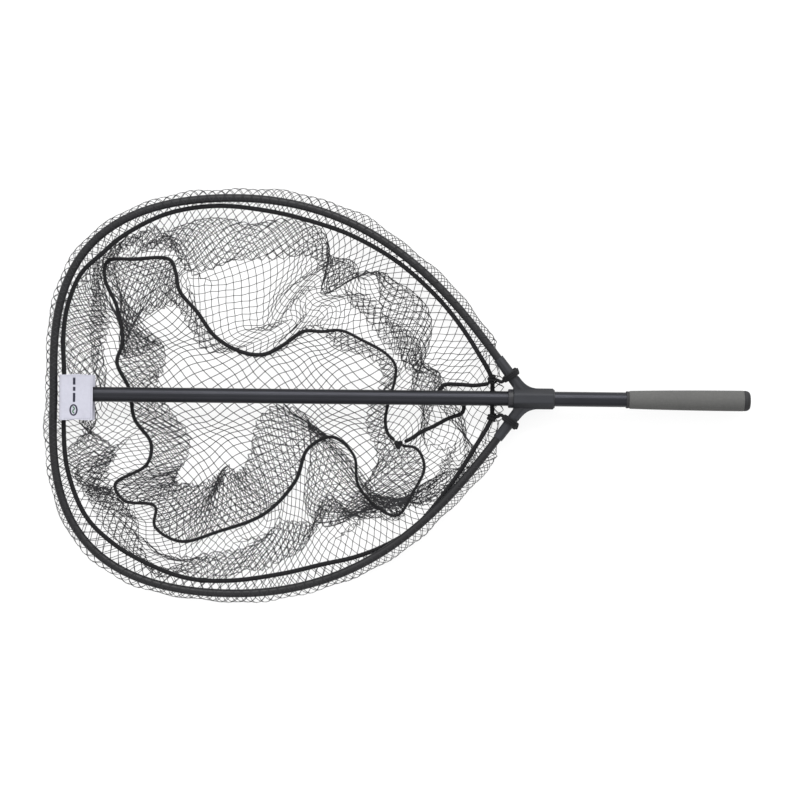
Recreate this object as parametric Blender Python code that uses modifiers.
"""Landing net: a teardrop hoop in a Y yoke, a handle tube that slides through it, and a bag lying flat.

Lengths are metres. The yoke frame has its zero on the handle's axis at the mouth of the yoke, with +X
towards the grip. An empty carries the whole net, so that the middle of its floor plan is the world's zero.
The hoop, the yoke and the handle lie in one level plane, which the bag holds above the floor.
"""

import math

import bmesh
import bpy
from mathutils import Matrix, Vector

MM = 0.001

# ---- driving dimensions ----------------------------------------------------------------------------
PLANE_HEIGHT = 30.0 * MM          # hoop and handle axes above the floor

HOOP_REACH = 675.3 * MM           # yoke's zero to the far end of the hoop's centreline
HOOP_HALF_WIDTH = 292.6 * MM      # hoop's centreline at its widest
HOOP_WIDEST = 408.0 * MM          # how far from the yoke's zero the hoop is widest
HOOP_TUBE_DIAMETER = 12.0 * MM
HOOP_TUBE_WALL = 1.2 * MM

HANDLE_DIAMETER = 22.0 * MM
HANDLE_WALL = 1.5 * MM
HANDLE_FROM_TIP = 25.3 * MM       # stowed tube's far end, inside the hoop's centreline at its tip
GRIP_START = 175.7 * MM
GRIP_LENGTH = 170.0 * MM
BUTT_LENGTH = 9.2 * MM
BUTT_FACE_DIAMETER = 19.0 * MM
GRIP_FRONT_WALL = 2.3 * MM
GRIP_REAR_WALL = 4.25 * MM
COLLAR_LENGTH = 3.6 * MM
COLLAR_HEIGHT = 1.3 * MM

SLEEVE_FRONT = 4.7 * MM
SLEEVE_END = 64.2 * MM
SLEEVE_WALL = 2.2 * MM            # at the middle of the eight-sided sleeve's flats
ARM_SETBACK = 10.3 * MM           # how far behind the sleeve's front corners the arms' axes run
ARM_REACH = 54.6 * MM             # arm's length outside the sleeve
ARM_SLOPE = math.radians(126.87)  # arm's direction from +X
SOCKET_WALL = 1.2 * MM            # at the socket's mouth
ARM_SWELL = 2.6 * MM              # how much thicker the arm is at its root
SOCKET_DEPTH = 36.0 * MM
WEB_END = 43.8 * MM

BUSH_WALL = 1.7 * MM
BUSH_LENGTH = 16.0 * MM
BUSH_FLANGE = 7.4 * MM
BUSH_FLANGE_STEP = 1.0 * MM

PLUG_FLANGE = 4.0 * MM
PLUG_FLANGE_STEP = 1.3 * MM       # how far the plug's flange stands out of the tube
PLUG_SPIGOT = 16.0 * MM
STOP_GAP = 0.5 * MM               # what is left between the plug's flange and the bush at full reach

BUTTON_DIAMETER = 8.0 * MM
BUTTON_PROUD = 5.0 * MM           # how far the button stands out of the handle tube
BUTTON_RIM = 1.0 * MM
BUTTON_HOLE_X = 36.0 * MM         # button hole in the yoke's sleeve
SPRING_THICKNESS = 0.6 * MM
SPRING_WIDTH = 6.0 * MM
SPRING_LENGTH = 34.0 * MM

SCREW_DIAMETER = 3.2 * MM
SCREW_HEAD_DIAMETER = 6.4 * MM
SCREW_HEAD_HEIGHT = 2.0 * MM
SCREW_FROM_MOUTH = 13.0 * MM

HEADROPE_DIAMETER = 6.8 * MM
HEADROPE_DROP = 3.0 * MM          # how far the headrope hangs under the hoop's plane
HEADROPE_CROSSING_X = -25.0 * MM
HEADROPE_TIP_GAP = 5.8 * MM       # between the hoop and the headrope at the tip, inside the label
TIE_DIAMETER = 4.0 * MM
TIE_FROM_MOUTH = 31.0 * MM
LINK_DIAMETER = 5.0 * MM

NET_SKIN = 2.5 * MM               # thickness of the solids that stand for the netting
NET_BULGE = 19.0 * MM             # how far the side netting stands outside the hoop's centreline
NET_FRONT_HEIGHT = 12.5 * MM

BOTTOM_ROPE_DIAMETER = 6.0 * MM
SEAM_CORD_DIAMETER = 6.0 * MM

LABEL_WIDTH = 67.0 * MM
LABEL_LENGTH = 50.0 * MM
LABEL_THICKNESS = 1.0 * MM

GAP = 0.3 * MM                    # between pieces that touch or fit in each other
EASY_GAP = 0.6 * MM               # round a button or a screw in its hole

# ---- sizes that follow -----------------------------------------------------------------------------
HANDLE_START = HANDLE_FROM_TIP - HOOP_REACH
HANDLE_RADIUS = HANDLE_DIAMETER / 2
HANDLE_BORE = HANDLE_RADIUS - HANDLE_WALL
PLUG_FLANGE_RADIUS = HANDLE_RADIUS + PLUG_FLANGE_STEP
GRIP_FRONT_RADIUS = HANDLE_RADIUS + GRIP_FRONT_WALL
GRIP_REAR_RADIUS = HANDLE_RADIUS + GRIP_REAR_WALL
GRIP_END = GRIP_START + GRIP_LENGTH
BUTT_END = GRIP_END + GAP + BUTT_LENGTH
BUSH_BORE = HANDLE_RADIUS + GAP
BUSH_RADIUS = BUSH_BORE + BUSH_WALL
BUSH_FLANGE_RADIUS = BUSH_RADIUS + BUSH_FLANGE_STEP
SLEEVE_BORE = BUSH_RADIUS + GAP
SLEEVE_WIDTH = 2 * (SLEEVE_BORE + SLEEVE_WALL)
HOOP_RADIUS = HOOP_TUBE_DIAMETER / 2
SOCKET_RADIUS = HOOP_RADIUS + GAP
ARM_MOUTH_DIAMETER = 2 * (SOCKET_RADIUS + SOCKET_WALL)
ARM_ROOT_DIAMETER = ARM_MOUTH_DIAMETER + ARM_SWELL
HEADROPE_RADIUS = HEADROPE_DIAMETER / 2
HEADROPE_CROSSING_Z = PLANE_HEIGHT - HANDLE_RADIUS - BUTTON_PROUD - HEADROPE_RADIUS - 0.8 * MM
BUSH_FACE = SLEEVE_FRONT - GAP - BUSH_FLANGE
SLIDE_TRAVEL = BUSH_FACE - STOP_GAP - HANDLE_START
BUTTON_X = BUTTON_HOLE_X - SLIDE_TRAVEL
NET_END = HOOP_REACH + NET_BULGE + NET_SKIN / 2
CENTRE_SHIFT = (NET_END - BUTT_END) / 2

ARM_ROOT = SLEEVE_FRONT + ARM_SETBACK - SLEEVE_WIDTH / 2 / math.tan(ARM_SLOPE)
ARM_LENGTH = SLEEVE_WIDTH / 2 / math.sin(ARM_SLOPE) + ARM_REACH
ARM_DIRECTION = Vector((math.cos(ARM_SLOPE), math.sin(ARM_SLOPE), 0))
ARM_MOUTH = Vector((ARM_ROOT, 0, 0)) + ARM_LENGTH * ARM_DIRECTION

ROUND_SIDES = 32
HOOP_POINTS = 60

# How the headrope lies inside the hoop, from the upper arm round to the lower one: how far along the
# hoop, the gap between them (mm), and 1 where the rope runs under the hoop instead of beside it.
HEADROPE_TIP = HEADROPE_TIP_GAP / MM
HEADROPE_STATIONS = (
    (0.014, 9.1, 0), (0.038, 5.1, 0), (0.067, 3.1, 0), (0.110, 3.6, 0), (0.153, 6.6, 0),
    (0.184, 8.6, 0), (0.225, 6.6, 0), (0.269, 1.6, 0), (0.310, 4.1, 0), (0.351, 10.6, 0),
    (0.374, 11.6, 0), (0.400, 3.8, 0), (0.430, 1.8, 0), (0.458, 3.0, 0), (0.480, HEADROPE_TIP, 0),
    (0.500, HEADROPE_TIP, 0), (0.520, HEADROPE_TIP, 0), (0.560, 7.6, 0), (0.604, 12.1, 0),
    (0.638, 16.6, 0), (0.670, 15.6, 0), (0.710, 8.1, 0), (0.745, 9.1, 0), (0.790, 14.1, 0),
    (0.825, 12.6, 0), (0.850, 4.1, 0.6), (0.875, -3.4, 1), (0.902, -8.4, 1), (0.927, -4.4, 1),
    (0.955, 1.6, 0.5), (0.982, 8.1, 0),
)

# The bottom seam's rope as it lies on the bag, from one side of the knot round to the other (mm).
BOTTOM_ROPE_ROUTE = (
    (-170, -64), (-180, -54), (-184, -34), (-179, -6), (-170, 28), (-170, 48), (-184, 65), (-220, 85),
    (-252, 99), (-280, 97), (-307, 97), (-338, 76), (-366, 62), (-398, 65), (-438, 87), (-466, 124),
    (-493, 156), (-499, 184), (-508, 202), (-560, 202), (-601, 198), (-604, 172), (-586, 131),
    (-577, 78), (-585, 48), (-566, 8), (-558, -36), (-533, -72), (-539, -104), (-586, -134),
    (-572, -158), (-526, -166), (-526, -196), (-488, -218), (-432, -203), (-362, -175), (-317, -126),
    (-299, -78), (-262, -60), (-230, -88), (-224, -130), (-196, -163), (-165, -176), (-142, -142),
    (-125, -104), (-137, -76), (-158, -72),
)

# The side seam's cord, from the upper arm down to the floor, under the handle and on to the knot (mm).
SEAM_CORD_ROUTE = (
    (-31, 22, 16), (-39, 20.5, 12), (-53, 19, 8.5), (-68, 20, 6.5), (-82, 20.5, 6), (-92, 20.5, 6),
    (-100.1, 17.1, 6), (-103.5, 9, 6), (-100.1, 0.9, 6), (-92, -2.5, 6), (-79, -2.5, 6), (-70.5, -6, 6),
    (-67, -14.5, 6), (-70.5, -23, 6), (-79, -26.5, 6), (-90, -30.5, 6), (-102, -37, 6), (-115, -44, 6),
    (-130, -51, 6), (-145, -61, 6.5), (-155, -66, 7),
)
KNOT_CENTRE = (-164.0 * MM, -70.0 * MM)
KNOT_SIZE = (12.0 * MM, 14.0 * MM, 11.0 * MM)


# ---- scene and materials ---------------------------------------------------------------------------
def clear_scene():
    for obj in list(bpy.data.objects):
        bpy.data.objects.remove(obj, do_unlink=True)


def new_collection(name):
    collection = bpy.data.collections.new(name)
    bpy.context.scene.collection.children.link(collection)
    return collection


def material(name, colour, roughness, metallic=0.0):
    made = bpy.data.materials.new(name)
    made.use_nodes = True
    shader = made.node_tree.nodes["Principled BSDF"]
    shader.inputs["Base Color"].default_value = (*colour, 1.0)
    shader.inputs["Roughness"].default_value = roughness
    shader.inputs["Metallic"].default_value = metallic
    return made


clear_scene()
parts = new_collection("landing_net")
cutters = new_collection("landing_net_cutters")
carrier = bpy.data.objects.new("net_frame", None)
carrier.location = (CENTRE_SHIFT, 0, 0)
parts.objects.link(carrier)

anodised = material("anodised_tube", (0.085, 0.087, 0.095), 0.35, 0.8)
coated = material("coated_hoop", (0.035, 0.035, 0.04), 0.45, 0.2)
moulded = material("moulded_yoke", (0.06, 0.062, 0.07), 0.5)
bearing = material("bearing_plastic", (0.03, 0.03, 0.033), 0.4)
foam = material("grip_foam", (0.13, 0.13, 0.125), 0.9)
rubber = material("rubber_black", (0.02, 0.02, 0.022), 0.7)
rope = material("braided_rope", (0.012, 0.012, 0.014), 0.85)
netting = material("coated_netting", (0.015, 0.015, 0.018), 0.55)
woven = material("woven_label", (0.72, 0.72, 0.78), 0.8)
steel = material("steel", (0.45, 0.45, 0.47), 0.3, 1.0)


# ---- shapes ----------------------------------------------------------------------------------------
def place(obj, shade=True):
    """Put a finished piece in the net's frame."""
    parts.objects.link(obj)
    obj.parent = carrier
    if shade and obj.type == "MESH":
        obj.data.shade_smooth()
        obj.data.set_sharp_from_angle(angle=math.radians(35))
    return obj


def mesh_object(name, mesh, finish):
    obj = bpy.data.objects.new(name, mesh)
    mesh.materials.clear()
    mesh.materials.append(finish)
    return obj


def turned(name, profile, finish, axis="X", sides=ROUND_SIDES):
    """A turned piece. The profile's points are (along the axis, radius), down the outer side and then,
    where the piece has a bore, back up inside it."""
    mesh = bpy.data.meshes.new(name)
    points = [(radius, 0, along) for along, radius in profile]
    closed = min(radius for _, radius in profile) > 0
    edges = [(i, i + 1) for i in range(len(points) - 1)]
    if closed:
        edges.append((len(points) - 1, 0))
    mesh.from_pydata(points, edges, [])
    obj = mesh_object(name, mesh, finish)
    screw = obj.modifiers.new("turn", "SCREW")
    screw.axis = "Z"
    screw.steps = sides
    screw.render_steps = sides
    screw.use_merge_vertices = True
    screw.merge_threshold = 0.00001
    if axis == "X":
        obj.rotation_euler = (0, math.radians(90), 0)
    return obj


def tube_curve(name, points, radius, finish, cyclic=False, resolution=2, caps=True):
    """A round rod or open tube along the points."""
    curve = bpy.data.curves.new(name, "CURVE")
    curve.dimensions = "3D"
    curve.bevel_depth = radius
    curve.bevel_resolution = resolution
    curve.use_fill_caps = caps
    spline = curve.splines.new("POLY")
    spline.points.add(len(points) - 1)
    for slot, point in zip(spline.points, points):
        slot.co = (*point, 1)
    spline.use_cyclic_u = cyclic
    curve.materials.append(finish)
    return bpy.data.objects.new(name, curve)


def flat_curve(name, outline, half_thickness, finish):
    """A flat plate with the outline, lying in XY."""
    curve = bpy.data.curves.new(name, "CURVE")
    curve.dimensions = "2D"
    curve.fill_mode = "BOTH"
    curve.extrude = half_thickness
    spline = curve.splines.new("POLY")
    spline.points.add(len(outline) - 1)
    for slot, point in zip(spline.points, outline):
        slot.co = (point[0], point[1], 0, 1)
    spline.use_cyclic_u = True
    curve.materials.append(finish)
    return bpy.data.objects.new(name, curve)


def as_mesh(curve_object, weld=0.00001):
    """The curve's evaluated mesh in a new object, with its caps welded."""
    bpy.context.scene.collection.objects.link(curve_object)
    bpy.context.view_layer.update()
    graph = bpy.context.evaluated_depsgraph_get()
    mesh = bpy.data.meshes.new_from_object(curve_object.evaluated_get(graph))
    work = bmesh.new()
    work.from_mesh(mesh)
    bmesh.ops.remove_doubles(work, verts=work.verts, dist=weld)
    bmesh.ops.recalc_face_normals(work, faces=work.faces)
    work.to_mesh(mesh)
    work.free()
    name = curve_object.name
    matrix = curve_object.matrix_world.copy()
    bpy.data.objects.remove(curve_object, do_unlink=True)
    obj = bpy.data.objects.new(name, mesh)
    obj.matrix_world = matrix
    return obj


def add_solidify(obj, thickness, offset):
    solid = obj.modifiers.new("wall", "SOLIDIFY")
    solid.thickness = thickness
    solid.offset = offset
    solid.use_even_offset = True
    return solid


def rod(name, start, end, radius_start, radius_end=None, sides=32):
    """A cylinder or cone between two points, for joining to a piece or cutting it."""
    start, end = Vector(start), Vector(end)
    mesh = bpy.data.meshes.new(name)
    work = bmesh.new()
    far_radius = radius_start if radius_end is None else radius_end
    bmesh.ops.create_cone(work, cap_ends=True, segments=sides, radius1=radius_start,
                          radius2=far_radius, depth=(end - start).length)
    work.to_mesh(mesh)
    work.free()
    turn = (end - start).to_track_quat("Z", "Y").to_matrix().to_4x4()
    mesh.transform(Matrix.Translation((start + end) / 2) @ turn)
    return bpy.data.objects.new(name, mesh)


def use_tool(obj, tool, operation):
    """Join a tool to a piece, or cut the piece with it."""
    cutters.objects.link(tool)
    tool.parent = carrier
    tool.hide_render = True
    tool.display_type = "WIRE"
    boolean = obj.modifiers.new(f"{operation.lower()}_{tool.name}", "BOOLEAN")
    boolean.operation = operation
    boolean.solver = "EXACT"
    boolean.object = tool


def mirrored(point):
    return Vector((point[0], -point[1], point[2]))


def bezier(start, start_handle, end_handle, end, t):
    s = 1 - t
    return s ** 3 * start + 3 * s * s * t * start_handle + 3 * s * t * t * end_handle + t ** 3 * end


def smooth_route(points, count):
    """Evenly spaced points on a centripetal Catmull-Rom curve through the points."""
    guides = [Vector(p) for p in points]
    guides = [2 * guides[0] - guides[1]] + guides + [2 * guides[-1] - guides[-2]]
    dense = []
    for p0, p1, p2, p3 in zip(guides, guides[1:], guides[2:], guides[3:]):
        t0 = 0.0
        t1 = t0 + math.sqrt((p1 - p0).length)
        t2 = t1 + math.sqrt((p2 - p1).length)
        t3 = t2 + math.sqrt((p3 - p2).length)
        for i in range(12):
            t = t1 + (t2 - t1) * i / 12
            a1 = p0.lerp(p1, (t - t0) / (t1 - t0))
            a2 = p1.lerp(p2, (t - t1) / (t2 - t1))
            a3 = p2.lerp(p3, (t - t2) / (t3 - t2))
            b1 = a1.lerp(a2, (t - t0) / (t2 - t0))
            b2 = a2.lerp(a3, (t - t1) / (t3 - t1))
            dense.append(b1.lerp(b2, (t - t1) / (t2 - t1)))
    dense.append(guides[-2])
    return evenly(dense, count)


def evenly(dense, count):
    """Points at equal steps along a dense line."""
    along = [0.0]
    for a, b in zip(dense, dense[1:]):
        along.append(along[-1] + (b - a).length)
    picked = []
    i = 0
    for k in range(count):
        target = along[-1] * k / (count - 1)
        while i < len(dense) - 2 and along[i + 1] < target:
            i += 1
        share = (target - along[i]) / max(along[i + 1] - along[i], 1e-12)
        picked.append(dense[i].lerp(dense[i + 1], min(share, 1.0)))
    return picked


# ---- hoop outline ----------------------------------------------------------------------------------
def hoop_line():
    """The hoop's centreline from the upper socket's mouth round to the lower one's, in plan."""
    tip = Vector((-HOOP_REACH, 0, 0))
    crown = Vector((-HOOP_WIDEST, HOOP_HALF_WIDTH, 0))
    along_x = Vector((1, 0, 0))
    near = HOOP_WIDEST + ARM_MOUTH.x
    far = HOOP_REACH - HOOP_WIDEST
    half = []
    for i in range(121):
        half.append(bezier(ARM_MOUTH, ARM_MOUTH + 0.343 * near * ARM_DIRECTION,
                           crown + 0.52 * near * along_x, crown, i / 120))
    for i in range(1, 121):
        half.append(bezier(crown, crown - 1.085 * far * along_x,
                           tip + Vector((0, 0.314 * HOOP_HALF_WIDTH, 0)), tip, i / 120))
    return half + [mirrored(p) for p in reversed(half[:-1])]


HOOP_LINE = evenly(hoop_line(), 721)


def hoop_point(share, outward=0.0, height=0.0):
    """A point beside the hoop: how far along it, how far outside its centreline, and its height."""
    place_on = share * (len(HOOP_LINE) - 1)
    i = min(int(place_on), len(HOOP_LINE) - 2)
    point = HOOP_LINE[i].lerp(HOOP_LINE[i + 1], place_on - i)
    along = (HOOP_LINE[min(i + 2, len(HOOP_LINE) - 1)] - HOOP_LINE[max(i - 1, 0)]).normalized()
    return point + outward * Vector((along.y, -along.x, 0)) + Vector((0, 0, height))


def at_plane(point):
    return Vector((point[0], point[1], PLANE_HEIGHT))


# ---- head: hoop, yoke and bushes -------------------------------------------------------------------
def arm_radius(from_mouth):
    share = from_mouth / ARM_LENGTH
    return (ARM_MOUTH_DIAMETER + (ARM_ROOT_DIAMETER - ARM_MOUTH_DIAMETER) * share) / 2


def arm_point(from_mouth, side=1):
    point = at_plane(ARM_MOUTH - from_mouth * ARM_DIRECTION)
    return point if side > 0 else mirrored(point)


def screw_hole(name, side, radius):
    """A cutter from under the arm up to the middle of the hoop tube."""
    spot = arm_point(SCREW_FROM_MOUTH, side)
    return rod(name, spot - Vector((0, 0, ARM_ROOT_DIAMETER)), spot, radius, sides=16)


def make_hoop():
    inside = SOCKET_DEPTH - 1.0 * MM
    line = evenly([ARM_MOUTH - inside * ARM_DIRECTION] + HOOP_LINE
                  + [mirrored(ARM_MOUTH - inside * ARM_DIRECTION)], HOOP_POINTS)
    curve = tube_curve("hoop_tube", [at_plane(p) for p in line], HOOP_RADIUS, coated,
                       resolution=4, caps=False)
    hoop = as_mesh(curve)
    add_solidify(hoop, HOOP_TUBE_WALL, -1)
    for side, word in ((1, "upper"), (-1, "lower")):
        use_tool(hoop, screw_hole(f"hoop_hole_{word}", side, SCREW_DIAMETER / 2 + GAP), "DIFFERENCE")
    return place(hoop)


def make_sleeve():
    """The yoke's eight-sided sleeve, with its long edges rounded and its rear rim chamfered."""
    mesh = bpy.data.meshes.new("yoke_body")
    work = bmesh.new()
    corner = SLEEVE_WIDTH / 2 / math.cos(math.pi / 8)
    bmesh.ops.create_cone(work, cap_ends=True, segments=8, radius1=corner, radius2=corner,
                          depth=SLEEVE_END - SLEEVE_FRONT)
    work.to_mesh(mesh)
    work.free()
    turn = Matrix.Rotation(math.radians(90), 4, "Y") @ Matrix.Rotation(math.pi / 8, 4, "Z")
    middle = Vector(((SLEEVE_FRONT + SLEEVE_END) / 2, 0, PLANE_HEIGHT))
    mesh.transform(Matrix.Translation(middle) @ turn)
    sleeve = mesh_object("yoke_body", mesh, moulded)
    edge = sleeve.modifiers.new("soft_edges", "BEVEL")
    edge.width = 1.6 * MM
    edge.segments = 2
    edge.limit_method = "ANGLE"
    edge.angle_limit = math.radians(30)
    return sleeve


def web_outline():
    """The plate that fills the crotch between the arms and the sleeve, with its concave rear edge."""
    outer_edge = Vector((-ARM_DIRECTION.y, ARM_DIRECTION.x, 0)) * -1
    start = ARM_MOUTH - 39.0 * MM * ARM_DIRECTION + arm_radius(39.0 * MM) * outer_edge
    end = Vector((WEB_END, SLEEVE_WIDTH / 2 - 0.3 * MM, 0))
    reach = (end - start).length
    side = [Vector((SLEEVE_FRONT, SLEEVE_WIDTH / 2, 0)), ARM_MOUTH - 38.0 * MM * ARM_DIRECTION]
    for i in range(9):
        side.append(bezier(start, start - 0.38 * reach * ARM_DIRECTION,
                           end - Vector((0.46 * reach, 0, 0)), end, i / 8))
    return side + [mirrored(p) for p in reversed(side)]


def make_yoke():
    yoke = make_sleeve()
    web = as_mesh(flat_curve("web", web_outline(), ARM_MOUTH_DIAMETER / 2, moulded))
    web.data.transform(Matrix.Translation((0, 0, PLANE_HEIGHT)))
    use_tool(yoke, web, "UNION")
    for side, word in ((1, "upper"), (-1, "lower")):
        arm = rod(f"arm_{word}", arm_point(ARM_LENGTH, side), arm_point(0, side),
                  ARM_ROOT_DIAMETER / 2, ARM_MOUTH_DIAMETER / 2, sides=28)
        use_tool(yoke, arm, "UNION")
    front_room = Vector((SLEEVE_FRONT - 20.0 * MM, 0, PLANE_HEIGHT))
    rear_room = Vector((SLEEVE_END + 10.0 * MM, 0, PLANE_HEIGHT))
    front_face = Vector((SLEEVE_FRONT, 0, PLANE_HEIGHT))
    use_tool(yoke, rod("sleeve_bore", front_room, rear_room, SLEEVE_BORE, sides=ROUND_SIDES),
             "DIFFERENCE")
    use_tool(yoke, rod("flange_seat", front_room, front_face, BUSH_FLANGE_RADIUS + EASY_GAP,
                       sides=ROUND_SIDES), "DIFFERENCE")
    for side, word in ((1, "upper"), (-1, "lower")):
        mouth = arm_point(-5.0 * MM, side)
        use_tool(yoke, rod(f"socket_{word}", mouth, arm_point(SOCKET_DEPTH, side), SOCKET_RADIUS,
                           sides=28), "DIFFERENCE")
        use_tool(yoke, screw_hole(f"screw_hole_{word}", side, SCREW_DIAMETER / 2 + GAP), "DIFFERENCE")
    hole = Vector((BUTTON_HOLE_X, 0, PLANE_HEIGHT))
    use_tool(yoke, rod("button_hole", hole - Vector((0, 0, SLEEVE_WIDTH)), hole,
                       BUTTON_DIAMETER / 2 + EASY_GAP, sides=24), "DIFFERENCE")
    return place(yoke)


def make_bushes():
    flange = BUSH_FLANGE_RADIUS
    shoulder = BUSH_FACE + BUSH_FLANGE
    front = turned("front_bush", [
        (shoulder + BUSH_LENGTH, BUSH_BORE), (shoulder + BUSH_LENGTH, BUSH_RADIUS),
        (shoulder, BUSH_RADIUS), (shoulder, flange), (BUSH_FACE + 1.0 * MM, flange),
        (BUSH_FACE, flange - 1.0 * MM), (BUSH_FACE, BUSH_BORE)], bearing)
    lip = SLEEVE_END + GAP
    rear = turned("rear_bush", [
        (lip + 1.2 * MM, BUSH_BORE), (lip + 1.2 * MM, BUSH_RADIUS + 0.8 * MM),
        (lip, BUSH_RADIUS + 0.8 * MM), (lip, BUSH_RADIUS),
        (lip - BUSH_LENGTH, BUSH_RADIUS), (lip - BUSH_LENGTH, BUSH_BORE)], bearing)
    for bush in (front, rear):
        bush.location = (0, 0, PLANE_HEIGHT)
        place(bush)


def make_hoop_screws():
    for side, word in ((1, "upper"), (-1, "lower")):
        spot = arm_point(SCREW_FROM_MOUTH, side)
        seat = -arm_radius(SCREW_FROM_MOUTH) - GAP
        head = SCREW_HEAD_DIAMETER / 2
        screw = turned(f"hoop_screw_{word}", [
            (-HOOP_RADIUS / 3, 0), (-HOOP_RADIUS / 3, SCREW_DIAMETER / 2), (seat, SCREW_DIAMETER / 2),
            (seat, head), (seat - SCREW_HEAD_HEIGHT + 0.6 * MM, head),
            (seat - SCREW_HEAD_HEIGHT, head - 0.8 * MM), (seat - SCREW_HEAD_HEIGHT, 0)],
            steel, axis="Z", sides=16)
        screw.location = spot
        place(screw)


# ---- bag: ropes, netting and label -----------------------------------------------------------------
def under_hoop():
    """How far the headrope's centre lies under the hoop's plane where it runs beneath the hoop."""
    return HOOP_RADIUS + HEADROPE_RADIUS + EASY_GAP


def make_headrope():
    guides = [Vector((HEADROPE_CROSSING_X, 0, HEADROPE_CROSSING_Z)),
              Vector((HEADROPE_CROSSING_X, 15.0 * MM, HEADROPE_CROSSING_Z + 1.5 * MM)),
              Vector((HEADROPE_CROSSING_X - 1.5 * MM, 30.0 * MM, PLANE_HEIGHT - 12.0 * MM))]
    for share, gap, under in HEADROPE_STATIONS:
        inset = HOOP_RADIUS + HEADROPE_RADIUS + gap * MM
        drop = HEADROPE_DROP + under * (under_hoop() - HEADROPE_DROP)
        guides.append(hoop_point(share, -inset, PLANE_HEIGHT - drop))
    guides += [mirrored(guides[2]), mirrored(guides[1]), guides[0]]
    line = smooth_route(guides, 101)[:-1]
    return place(tube_curve("headrope", line, HEADROPE_RADIUS, rope, cyclic=True))


def make_ties():
    """The rope wrapped round each arm, and the short link from it to the headrope."""
    for side, word in ((1, "upper"), (-1, "lower")):
        spot = arm_point(TIE_FROM_MOUTH, side)
        ring = arm_radius(TIE_FROM_MOUTH) + 1.0 * MM + TIE_DIAMETER / 2
        mesh = bpy.data.meshes.new(f"arm_tie_{word}")
        work = bmesh.new()
        circle = bmesh.ops.create_circle(work, segments=8, radius=TIE_DIAMETER / 2)
        bmesh.ops.transform(work, verts=circle["verts"], matrix=Matrix.Translation((ring, 0, 0))
                            @ Matrix.Diagonal((1, 2, 1, 1)))
        bmesh.ops.rotate(work, verts=circle["verts"], cent=(0, 0, 0),
                         matrix=Matrix.Rotation(math.radians(90), 3, "X"))
        bmesh.ops.spin(work, geom=work.edges[:] + work.verts[:], cent=(0, 0, 0), axis=(0, 0, 1),
                       angle=2 * math.pi, steps=20, use_merge=True)
        bmesh.ops.remove_doubles(work, verts=work.verts, dist=0.00001)
        bmesh.ops.recalc_face_normals(work, faces=work.faces)
        work.to_mesh(mesh)
        work.free()
        axis = arm_point(0, side) - spot
        mesh.transform(Matrix.Translation(spot) @ axis.to_track_quat("Z", "Y").to_matrix().to_4x4())
        place(mesh_object(f"arm_tie_{word}", mesh, rope))

        inward = Vector((ARM_DIRECTION.y, side * -ARM_DIRECTION.x, 0)) * -1
        outer = ring + TIE_DIAMETER / 2 + LINK_DIAMETER / 2 + GAP
        start = spot + outer * inward + Vector((0, 0, -2.0 * MM))
        end = Vector((HEADROPE_CROSSING_X + HEADROPE_RADIUS + LINK_DIAMETER / 2 + EASY_GAP,
                      side * 25.0 * MM, PLANE_HEIGHT - 13.0 * MM))
        place(tube_curve(f"rope_link_{word}", smooth_route([start, (start + end) / 2, end], 5),
                         LINK_DIAMETER / 2, rope))


def wall_profile():
    """The side netting's section: how far outside the hoop's centreline, and the height."""
    half_skin = NET_SKIN / 2
    top = PLANE_HEIGHT + HOOP_RADIUS + half_skin + 1.2 * MM
    return [(-4.0 * MM, top), (4.0 * MM, top), (0.62 * NET_BULGE, top - 3.0 * MM),
            (0.9 * NET_BULGE, PLANE_HEIGHT - 2.0 * MM), (NET_BULGE, PLANE_HEIGHT / 2),
            (0.8 * NET_BULGE, 5.0 * MM), (0.5 * NET_BULGE, half_skin), (5.0 * MM, half_skin)]


def make_net_side():
    """One open ring of netting, over the hoop and down to the floor, from arm to arm."""
    mesh = bpy.data.meshes.new("net_side")
    work = bmesh.new()
    stations = 48
    rows = []
    for i in range(stations + 1):
        share = 0.014 + (1 - 2 * 0.014) * i / stations
        rows.append([work.verts.new(hoop_point(share, out, height)) for out, height in wall_profile()])
    for row, following in zip(rows, rows[1:]):
        for k in range(len(row) - 1):
            work.faces.new((row[k], row[k + 1], following[k + 1], following[k]))
    bmesh.ops.recalc_face_normals(work, faces=work.faces)
    work.to_mesh(mesh)
    work.free()
    wall = mesh_object("net_side", mesh, netting)
    add_solidify(wall, NET_SKIN, 0)
    return place(wall)


def make_net_front():
    """The low end of the netting that passes under the yoke."""
    count = 8
    outline = []
    for step in (0, NET_SKIN):
        arc = []
        for i in range(count + 1):
            angle = math.pi * (i / count - 0.5)
            arc.append(Vector((-14.0 * MM + (8.0 * MM - step) * math.cos(angle),
                               (42.0 * MM - step) * math.sin(angle), 0)))
        outline += arc if step == 0 else list(reversed(arc))
    front = as_mesh(flat_curve("net_front", outline, NET_FRONT_HEIGHT / 2, netting))
    front.data.transform(Matrix.Translation((0, 0, NET_FRONT_HEIGHT / 2)))
    return place(front)


def make_net_bottom():
    """The bag's bottom panel, flat on the floor inside the side netting's lower edge."""
    outline = [hoop_point(0.02 + 0.96 * i / 71, 3.0 * MM) for i in range(72)]
    panel = as_mesh(flat_curve("net_bottom", outline, NET_SKIN / 2, netting))
    panel.data.transform(Matrix.Translation((0, 0, NET_SKIN / 2)))
    return place(panel)


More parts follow.
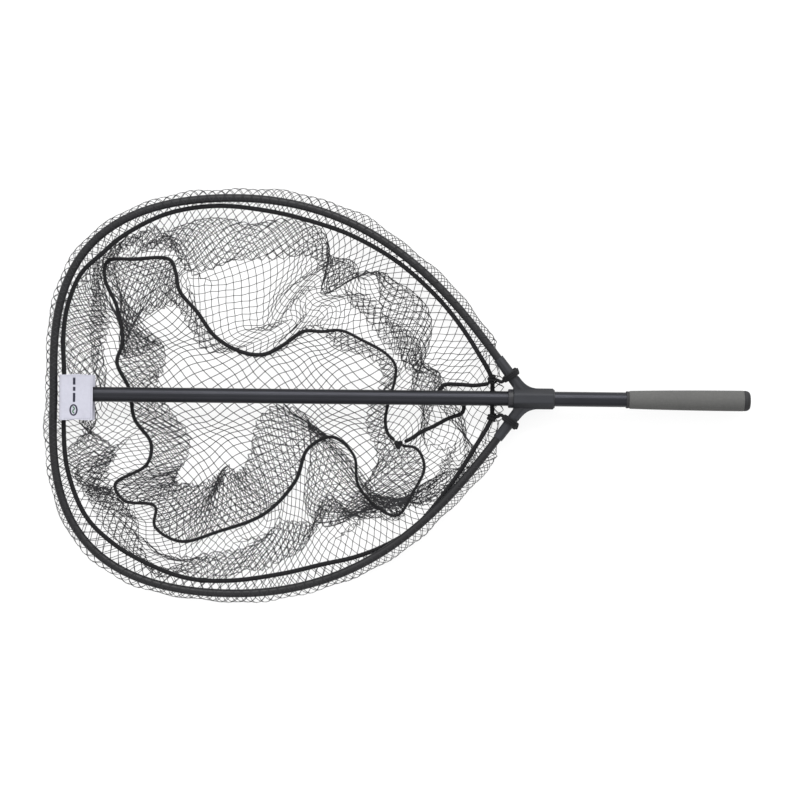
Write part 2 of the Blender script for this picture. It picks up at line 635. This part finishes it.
def make_loose_ropes():
    height = NET_SKIN + GAP + BOTTOM_ROPE_DIAMETER / 2
    bottom = smooth_route([(x * MM, y * MM, height) for x, y in BOTTOM_ROPE_ROUTE], 80)
    place(tube_curve("bottom_rope", bottom, BOTTOM_ROPE_DIAMETER / 2, rope))
    seam = smooth_route([(x * MM, y * MM, z * MM) for x, y, z in SEAM_CORD_ROUTE], 36)
    place(tube_curve("side_seam_cord", seam, SEAM_CORD_DIAMETER / 2, rope))
    mesh = bpy.data.meshes.new("seam_knot")
    work = bmesh.new()
    bmesh.ops.create_uvsphere(work, u_segments=12, v_segments=8, radius=0.5)
    work.to_mesh(mesh)
    work.free()
    mesh.transform(Matrix.Translation((*KNOT_CENTRE, NET_SKIN + GAP + KNOT_SIZE[2] / 2))
                   @ Matrix.Diagonal((*KNOT_SIZE, 1)))
    place(mesh_object("seam_knot", mesh, rope))


def make_label():
    """A woven tab folded round the headrope at the tip, open towards the yoke, over and under the
    stowed handle's end."""
    half_gap = PLUG_FLANGE_RADIUS + EASY_GAP + LABEL_THICKNESS / 2
    fold_x = HOOP_RADIUS + HEADROPE_TIP_GAP / 2 + LABEL_THICKNESS / 2 - HOOP_REACH
    open_x = fold_x + LABEL_LENGTH
    curve = bpy.data.curves.new("label_pocket", "CURVE")
    curve.dimensions = "2D"
    curve.fill_mode = "NONE"
    curve.extrude = LABEL_WIDTH / 2
    corner = 7.0 * MM
    section = [(open_x, half_gap), (fold_x + corner, half_gap)]
    for i in range(1, 6):
        angle = math.pi / 2 * (1 + i / 6)
        section.append((fold_x + corner + corner * math.cos(angle),
                        half_gap - corner + corner * math.sin(angle)))
    section += [(x, -z) for x, z in reversed(section)]
    spline = curve.splines.new("POLY")
    spline.points.add(len(section) - 1)
    for slot, (x, z) in zip(spline.points, section):
        slot.co = (x, z, 0, 1)
    curve.materials.append(woven)
    ribbon = bpy.data.objects.new("label_pocket", curve)
    ribbon.matrix_world = (Matrix.Translation((0, 0, PLANE_HEIGHT))
                           @ Matrix.Rotation(math.radians(90), 4, "X"))
    label = as_mesh(ribbon)
    add_solidify(label, LABEL_THICKNESS, 0)
    return place(label)


# ---- handle ----------------------------------------------------------------------------------------
def make_handle_tube():
    end = GRIP_END
    tube = turned("handle_tube", [(end, HANDLE_BORE), (end, HANDLE_RADIUS),
                                  (HANDLE_START + GAP, HANDLE_RADIUS),
                                  (HANDLE_START + GAP, HANDLE_BORE)], anodised)
    tube.location = (0, 0, PLANE_HEIGHT)
    hole = Vector((BUTTON_X, 0, PLANE_HEIGHT))
    use_tool(tube, rod("tube_button_hole", hole - Vector((0, 0, HANDLE_DIAMETER)), hole,
                       BUTTON_DIAMETER / 2 + GAP, sides=24), "DIFFERENCE")
    place(tube)

    spigot = HANDLE_BORE - GAP
    flange = PLUG_FLANGE_RADIUS
    plug = turned("tube_end_plug", [
        (HANDLE_START + PLUG_SPIGOT, 0), (HANDLE_START + PLUG_SPIGOT, spigot),
        (HANDLE_START, spigot), (HANDLE_START, flange),
        (HANDLE_START - PLUG_FLANGE + 1.0 * MM, flange),
        (HANDLE_START - PLUG_FLANGE, flange - 1.5 * MM), (HANDLE_START - PLUG_FLANGE, 0)], bearing)
    plug.location = (0, 0, PLANE_HEIGHT)
    place(plug)


def make_grip():
    bore = HANDLE_RADIUS + GAP
    collar = turned("grip_collar", [
        (GRIP_START - GAP, bore), (GRIP_START - GAP, bore + COLLAR_HEIGHT),
        (GRIP_START - GAP - COLLAR_LENGTH, bore + COLLAR_HEIGHT),
        (GRIP_START - GAP - COLLAR_LENGTH, bore)], rubber)
    front = GRIP_FRONT_RADIUS
    rear = GRIP_REAR_RADIUS
    swell = [(GRIP_END, bore), (GRIP_END, rear - 0.4 * MM), (GRIP_END - 1.5 * MM, rear)]
    for i in range(1, 8):
        share = i / 8
        swell.append((GRIP_END - share * GRIP_LENGTH, rear + (front - rear) * share ** 2.2))
    swell += [(GRIP_START + 2.0 * MM, front), (GRIP_START, front - 1.2 * MM), (GRIP_START, bore)]
    sleeve = turned("grip_foam", swell, foam)
    face = BUTT_FACE_DIAMETER / 2
    dome = [(BUTT_END, 0), (BUTT_END, face)]
    for i in range(1, 6):
        angle = math.pi / 2 * i / 5
        dome.append((BUTT_END - BUTT_LENGTH * 0.75 * (1 - math.cos(angle)),
                     face + (rear - 0.2 * MM - face) * math.sin(angle)))
    dome += [(GRIP_END + GAP, rear - 0.2 * MM), (GRIP_END + GAP, HANDLE_BORE - GAP),
             (GRIP_END - 18.0 * MM, HANDLE_BORE - GAP), (GRIP_END - 18.0 * MM, 0)]
    butt = turned("butt_cap", dome, rubber)
    for piece in (collar, sleeve, butt):
        piece.location = (0, 0, PLANE_HEIGHT)
        place(piece)


def make_lock_button():
    """The button stands out under the tube. Its rim rests inside, on the bore, with a leaf spring on
    top of it that bears on the far side of the bore."""
    radius = BUTTON_DIAMETER / 2
    rim_radius = radius + 1.0 * MM
    rim_low = -math.sqrt(HANDLE_BORE ** 2 - rim_radius ** 2) + GAP
    rim_top = rim_low + BUTTON_RIM
    tip = -HANDLE_RADIUS - BUTTON_PROUD
    button = turned("lock_button", [
        (rim_top, 0), (rim_top, rim_radius), (rim_low, rim_radius), (rim_low, radius),
        (tip + 1.5 * MM, radius), (tip + 0.4 * MM, radius - 1.0 * MM), (tip, radius - 2.2 * MM),
        (tip, 0)], steel, axis="Z", sides=24)
    button.location = (BUTTON_X, 0, PLANE_HEIGHT)
    place(button)

    low = rim_top + GAP + SPRING_THICKNESS / 2
    high = math.sqrt(HANDLE_BORE ** 2 - (SPRING_WIDTH / 2) ** 2) - GAP - SPRING_THICKNESS / 2
    bend = (high - low) / 2
    curve = bpy.data.curves.new("button_spring", "CURVE")
    curve.dimensions = "2D"
    curve.fill_mode = "NONE"
    curve.extrude = SPRING_WIDTH / 2
    section = [(-4.0 * MM, low), (SPRING_LENGTH - bend, low)]
    for i in range(1, 8):
        angle = math.pi * (i / 8 - 0.5)
        section.append((SPRING_LENGTH - bend + bend * math.cos(angle), low + bend + bend * math.sin(angle)))
    section += [(SPRING_LENGTH - bend, high), (0, high)]
    spline = curve.splines.new("POLY")
    spline.points.add(len(section) - 1)
    for slot, (x, z) in zip(spline.points, section):
        slot.co = (x, z, 0, 1)
    curve.materials.append(steel)
    ribbon = bpy.data.objects.new("button_spring", curve)
    ribbon.matrix_world = (Matrix.Translation((BUTTON_X, 0, PLANE_HEIGHT))
                           @ Matrix.Rotation(math.radians(90), 4, "X"))
    spring = as_mesh(ribbon)
    add_solidify(spring, SPRING_THICKNESS, 0)
    place(spring)


make_hoop()
make_yoke()
make_bushes()
make_hoop_screws()
make_headrope()
make_ties()
make_net_side()
make_net_front()
make_net_bottom()
make_loose_ropes()
make_label()
make_handle_tube()
make_grip()
make_lock_button()
